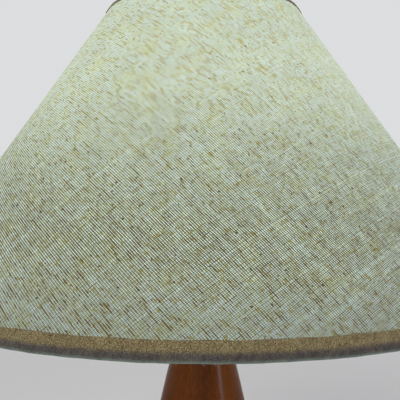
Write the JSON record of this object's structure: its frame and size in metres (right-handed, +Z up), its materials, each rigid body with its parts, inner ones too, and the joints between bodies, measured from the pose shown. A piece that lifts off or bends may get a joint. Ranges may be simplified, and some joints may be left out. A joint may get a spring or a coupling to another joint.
{
  "type": "table lamp",
  "caption": "Table lamp: tapered turned hardwood body, turn-key lampholder with bulb, and a wide conical linen shade held on a harp by a finial.",
  "frame": {"origin": "centre of the felt foot, on the surface that the lamp stands on", "axes": "+Z up along the lamp, -Y towards the switch knob at the front, +Y towards the lead inlet at the back, the harp in the XZ plane"},
  "size_m": [0.349, 0.349, 0.5142],
  "materials": {
    "turned_wood": "polished",
    "brass": "polished",
    "zinc_steel": "satin",
    "cast_iron": "rough",
    "felt": "matt",
    "black_plastic": "glossy",
    "phenolic": "satin",
    "fibre_liner": "matt",
    "aluminium": "satin",
    "linen": "matt",
    "hem_linen": "matt",
    "white_liner": "satin",
    "ring_wire": "gloss",
    "seam_tape": "satin",
    "white_plastic": "satin",
    "opal_plastic": "satin",
    "black_glass": "glossy",
    "circuit_white": "satin",
    "circuit_green": "satin",
    "led_yellow": "satin"
  },
  "bodies": {
    "base": {"wood_body": "turned_wood", "base_weight": "cast_iron", "felt_pad": "felt", "threaded_rod": "zinc_steel", "rod_washer": "zinc_steel", "rod_nut": "zinc_steel", "cord_bushing": "black_plastic", "neck_cap": "brass", "harp_saddle": "brass", "socket_cap": "brass", "socket_set_screw": "zinc_steel", "socket_interior": "phenolic", "socket_terminal_screws": "brass", "socket_screw_shell": "brass", "socket_centre_contact": "brass", "socket_liner": "fibre_liner", "socket_shell": "brass", "harp_wire": "brass", "harp_top_block": "brass"},
    "switch": {"switch_shaft": "zinc_steel", "switch_cam": "phenolic", "switch_knob": "black_plastic"},
    "bulb": {"bulb_tip_contact": "zinc_steel", "bulb_insulator": "black_glass", "bulb_screw_base": "aluminium", "bulb_housing": "white_plastic", "bulb_diffuser": "opal_plastic", "bulb_led_board": "circuit_white", "bulb_led_chips": "led_yellow", "bulb_driver_board": "circuit_green"},
    "sleeve_left": {"harp_sleeve_left": "brass"},
    "sleeve_right": {"harp_sleeve_right": "brass"},
    "shade": {"harp_stud": "brass", "spider_washer": "brass", "spider_arms": "brass", "shade_top_ring": "ring_wire", "shade_bottom_ring": "ring_wire", "shade_liner": "white_liner", "shade_fabric": "linen", "shade_top_hem": "hem_linen", "shade_bottom_hem": "hem_linen", "shade_seam_tape": "seam_tape"},
    "finial": {"finial": "brass"}
  },
  "joints": [
    {"name": "switch_turn", "type": "hinge", "parent": "base", "child": "switch", "pos_m": [0, -0.02, 0.3352], "axis": [0, -1, 0], "continuous": true},
    {"name": "bulb_unscrew", "type": "hinge", "parent": "base", "child": "bulb", "pos_m": [0, 0, 0.36], "axis": [0, 0, 1], "continuous": true},
    {"name": "sleeve_left_lift", "type": "slide", "parent": "base", "child": "sleeve_left", "axis": [0, 0, 1], "range_m": [0, 0.018]},
    {"name": "sleeve_right_lift", "type": "slide", "parent": "base", "child": "sleeve_right", "axis": [0, 0, 1], "range_m": [0, 0.018]},
    {"name": "shade_turn", "type": "hinge", "parent": "base", "child": "shade", "pos_m": [0, 0, 0.4775], "axis": [0, 0, 1], "continuous": true},
    {"name": "finial_unscrew", "type": "hinge", "parent": "shade", "child": "finial", "pos_m": [0, 0, 0.49], "axis": [0, 0, 1], "continuous": true}
  ]
}
